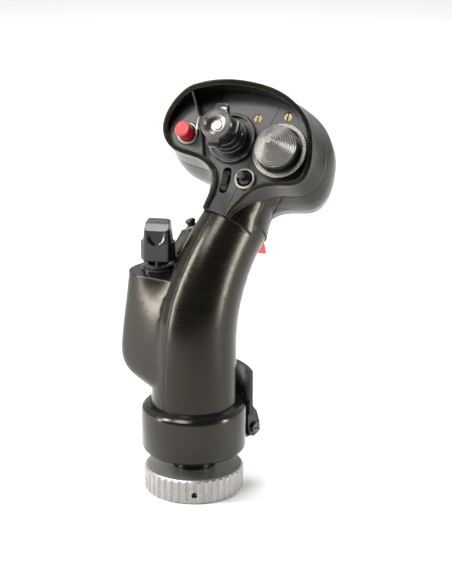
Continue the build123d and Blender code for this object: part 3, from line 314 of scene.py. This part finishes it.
def hat_black():
    """Polished black of the castle hat, worn to metal on its prongs and steps, the pale edges partly
    wear and partly painted highlight.
    """
    shader = Shader("black_metal_hat", (0.0060, 0.0060, 0.0060), 0.22, edge_mm=0.3)
    shader.mottle(shader.noise(200, 4), (0.018, 0.0175, 0.017))
    shader.rough(shader.noise(140, 4), 0.05)
    # edges lighten to pale grey: partly rubbed wear, partly painted highlight
    shader.rubbed_and_highlit_edges((0.20, 0.19, 0.17), 0.35, 0.6)
    shader.bump(shader.noise(900, 2), 0.01, 0.35)
    shader.set("Specular IOR Level", 0.8)
    return shader.material


def bare_metal(name, color, roughness, bright=None, metallic=1.0):
    """Turned or cast metal with a fine grain, and brighter edges, partly rubbed wear and partly
    painted highlight.
    """
    shader = Shader(name, color, roughness, metallic, edge_mm=0.2)
    shader.mottle(shader.noise(500, 5, 0.65), tuple(c * 0.78 for c in color))
    shader.rough(shader.noise(320, 4, 0.6), 0.06)
    # the bright edge colour is partly rubbed wear and partly painted highlight
    if bright is not None:
        shader.rubbed_and_highlit_edges(bright, 0.3)
    shader.bump(shader.noise(1400, 3, 0.6), 0.02, 0.45)
    return shader.material


def moulded(name, color, roughness, coat=0.0, edge_mm=0.3):
    """Moulded plastic with a fine surface grain and an optional clear gloss."""
    shader = Shader(name, color, roughness, edge_mm=edge_mm)
    shader.mottle(shader.noise(120, 4), tuple(min(1, c * 1.2 + 0.002) for c in color))
    shader.rough(shader.noise(90, 4), 0.05)
    shader.bump(shader.noise(1600, 2), 0.012, 0.4)
    shader.set("Coat Weight", coat)
    shader.set("Coat Roughness", 0.12)
    return shader.material


MATERIALS = {
    "bare_aluminium": bare_metal("bare_aluminium", (0.42, 0.412, 0.40), 0.38,
                                 bright=(0.9, 0.89, 0.87), metallic=0.75),
    "dark_steel": bare_metal("dark_steel", (0.13, 0.125, 0.12), 0.34),
    "black_anodised": anodised_black(),
    "satin_black_paint": satin_black(),
    "face_plate_grey": face_grey(),
    "brass_screw": bare_metal("brass_screw", (0.24, 0.19, 0.11), 0.22),
    "connector_metal": bare_metal("connector_metal", (0.60, 0.58, 0.52), 0.28),
    "insulator_black": moulded("insulator_black", (0.02, 0.02, 0.02), 0.5),
    "switch_metal": bare_metal("switch_metal", (0.42, 0.42, 0.42), 0.35),
    "black_metal_hat": hat_black(),
    "grooved_grey": bare_metal("grooved_grey", (0.14, 0.137, 0.13), 0.34,
                               bright=(0.55, 0.53, 0.50)),
    "pale_metal": bare_metal("pale_metal", (0.20, 0.19, 0.17), 0.36, bright=(0.6, 0.57, 0.5)),
    "black_plastic": moulded("black_plastic", (0.0045, 0.0045, 0.0048), 0.24, 0.1, 0.5),
    "red_plastic": moulded("red_plastic", (0.36, 0.006, 0.009), 0.28, 0.25),
    "trigger_red": moulded("trigger_red", (0.42, 0.040, 0.045), 0.40, 0.1, 0.6),
    "component_black": moulded("component_black", (0.02, 0.02, 0.02), 0.55),
    "board_green": moulded("board_green", (0.01, 0.08, 0.04), 0.35, 0.4),
}


DISH_R = 6.4 * MM
DISH_DEPTH = 3.2 * MM
DISH_FACING = 0.35              # its faces look at least this squarely outwards
HEAD_OUT = Vector((0.259163, -0.797623, 0.544639))      # out of the head's face plates


def polish_castle_dish():
    """The hollow of the castle cap and its middle button are bare satin metal."""
    cap = NODES["castle_cap"]
    mesh = cap.data
    mesh.materials.append(bare_metal("satin_dish", (0.27, 0.262, 0.245), 0.36))
    out = (cap.matrix_world.inverted().to_3x3() @ HEAD_OUT).normalized()
    top = max(vertex.co.dot(out) for vertex in mesh.vertices)
    middle = sum((vertex.co for vertex in mesh.vertices), Vector()) / len(mesh.vertices)
    for face in mesh.polygons:
        aside = face.center - middle
        reach = (aside - out * aside.dot(out)).length
        high = face.center.dot(out) > top - DISH_DEPTH
        if high and reach < DISH_R and face.normal.dot(out) > DISH_FACING:
            face.material_index = 1


def dress_cad_nodes():
    """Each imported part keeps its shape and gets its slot's material and clean shading."""
    slots = {part["node"]: part["material_slot"] for part in frame["record"]["subparts"]}
    for name, node in NODES.items():
        mesh = node.data
        mesh.materials.clear()
        mesh.materials.append(MATERIALS[slots[name]])
        mesh.polygons.foreach_set("use_smooth", [True] * len(mesh.polygons))
        weld = node.modifiers.new("weld", "WELD")
        weld.merge_threshold = WELD_MM * MM
        split = node.modifiers.new("edges", "EDGE_SPLIT")
        split.split_angle = CAD_EDGE


# ---------------------------------------------------------------- pod hat's moulded knob
KNOB_AT = Vector((-25.2, 2.2, 105.0)) * MM      # centre of the pod hat's seat
KNOB_YAW = math.radians(35)
KNOB_LOW = 4.6
KNOB_STEP = 13.9                # top of the side lugs
KNOB_TOP = 23.9
# knob levels: height, half width, half depth, nearest reach
KNOB_LEVELS = ((KNOB_LOW, 6.4, 5.2, -5.2), (KNOB_LOW + 0.6, 7.0, 5.9, -5.9),
               (KNOB_STEP, 6.8, 5.8, -5.8), (20.0, 6.3, 5.3, -5.3), (23.0, 5.9, 4.8, -2.6),
               (KNOB_TOP, 5.2, 4.2, -2.0))
LUG = (8.1, 3.3)                # half width and half depth of the side lugs
SCOOP_LOW, SCOOP_HIGH = 13.2, 19.6
SCOOP_HALF = 4.4
SCOOP_DEEP = 0.8
SCOOP_EDGE = 1.2                # width of the scoop's sloping border
KNOB_SQUARENESS = 7
KNOB_AROUND = 160               # corners in each ring of the knob's mesh
LUG_RINGS, TOP_RINGS = 24, 44
KNOB_EDGE = math.radians(40)


def oval(angle, half_x, half_y):
    """Reach of a rounded rectangle in one direction."""
    c = abs(math.cos(angle)) / half_x
    s = abs(math.sin(angle)) / half_y
    return (c ** KNOB_SQUARENESS + s ** KNOB_SQUARENESS) ** (-1 / KNOB_SQUARENESS)


def knob_point(height, angle, lugs):
    """A point on the knob's skin, with the U-shaped scoop pressed into its near face."""
    heights, halves, depths, nearest = zip(*KNOB_LEVELS)
    half_x = np.interp(height, heights, halves)
    half_y = np.interp(height, heights, depths)
    reach = oval(angle, half_x, half_y)
    if lugs:
        reach = max(reach, oval(angle, *LUG))
    x = reach * math.cos(angle)
    y = max(reach * math.sin(angle), np.interp(height, heights, nearest))
    up = (height - SCOOP_LOW) / (SCOOP_HIGH - SCOOP_LOW)
    if y < 0 and 0 < up < 1:
        inside = (SCOOP_HALF * (1 - (1 - up) ** 3) ** 0.5 - abs(x)) / SCOOP_EDGE
        y += SCOOP_DEEP * min(1.0, max(0.0, inside))
    return Vector((x, y, height)) * MM


def make_pod_knob():
    around = KNOB_AROUND
    lug_rows = [(height, True) for height in np.linspace(KNOB_LEVELS[1][0], KNOB_STEP, LUG_RINGS)]
    top_rows = [(height, False) for height in np.linspace(KNOB_STEP, KNOB_TOP, TOP_RINGS)]
    shape = bmesh.new()
    rings = []
    for height, lugs in [(KNOB_LOW, False)] + lug_rows + top_rows:
        rings.append([shape.verts.new(knob_point(height, 2 * math.pi * k / around, lugs))
                      for k in range(around)])
    for lower, upper in zip(rings, rings[1:]):
        for k in range(around):
            after = (k + 1) % around
            shape.faces.new((lower[k], lower[after], upper[after], upper[k]))
    shape.faces.new(rings[-1])
    shape.faces.new(rings[0][::-1])
    mesh = bpy.data.meshes.new("pod_knob")
    shape.to_mesh(mesh)
    shape.free()
    mesh.materials.append(MATERIALS["black_plastic"])
    mesh.polygons.foreach_set("use_smooth", [True] * len(mesh.polygons))
    knob = bpy.data.objects.new("pod_knob", mesh)
    knob.location = KNOB_AT
    knob.rotation_euler.z = KNOB_YAW
    bpy.context.scene.collection.objects.link(knob)
    split = knob.modifiers.new("edges", "EDGE_SPLIT")
    split.split_angle = KNOB_EDGE
    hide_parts("pod_hat_knob")
    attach(knob, "pod_hat")


make_camera()
make_studio()
dress_cad_nodes()
polish_castle_dish()
make_pod_knob()
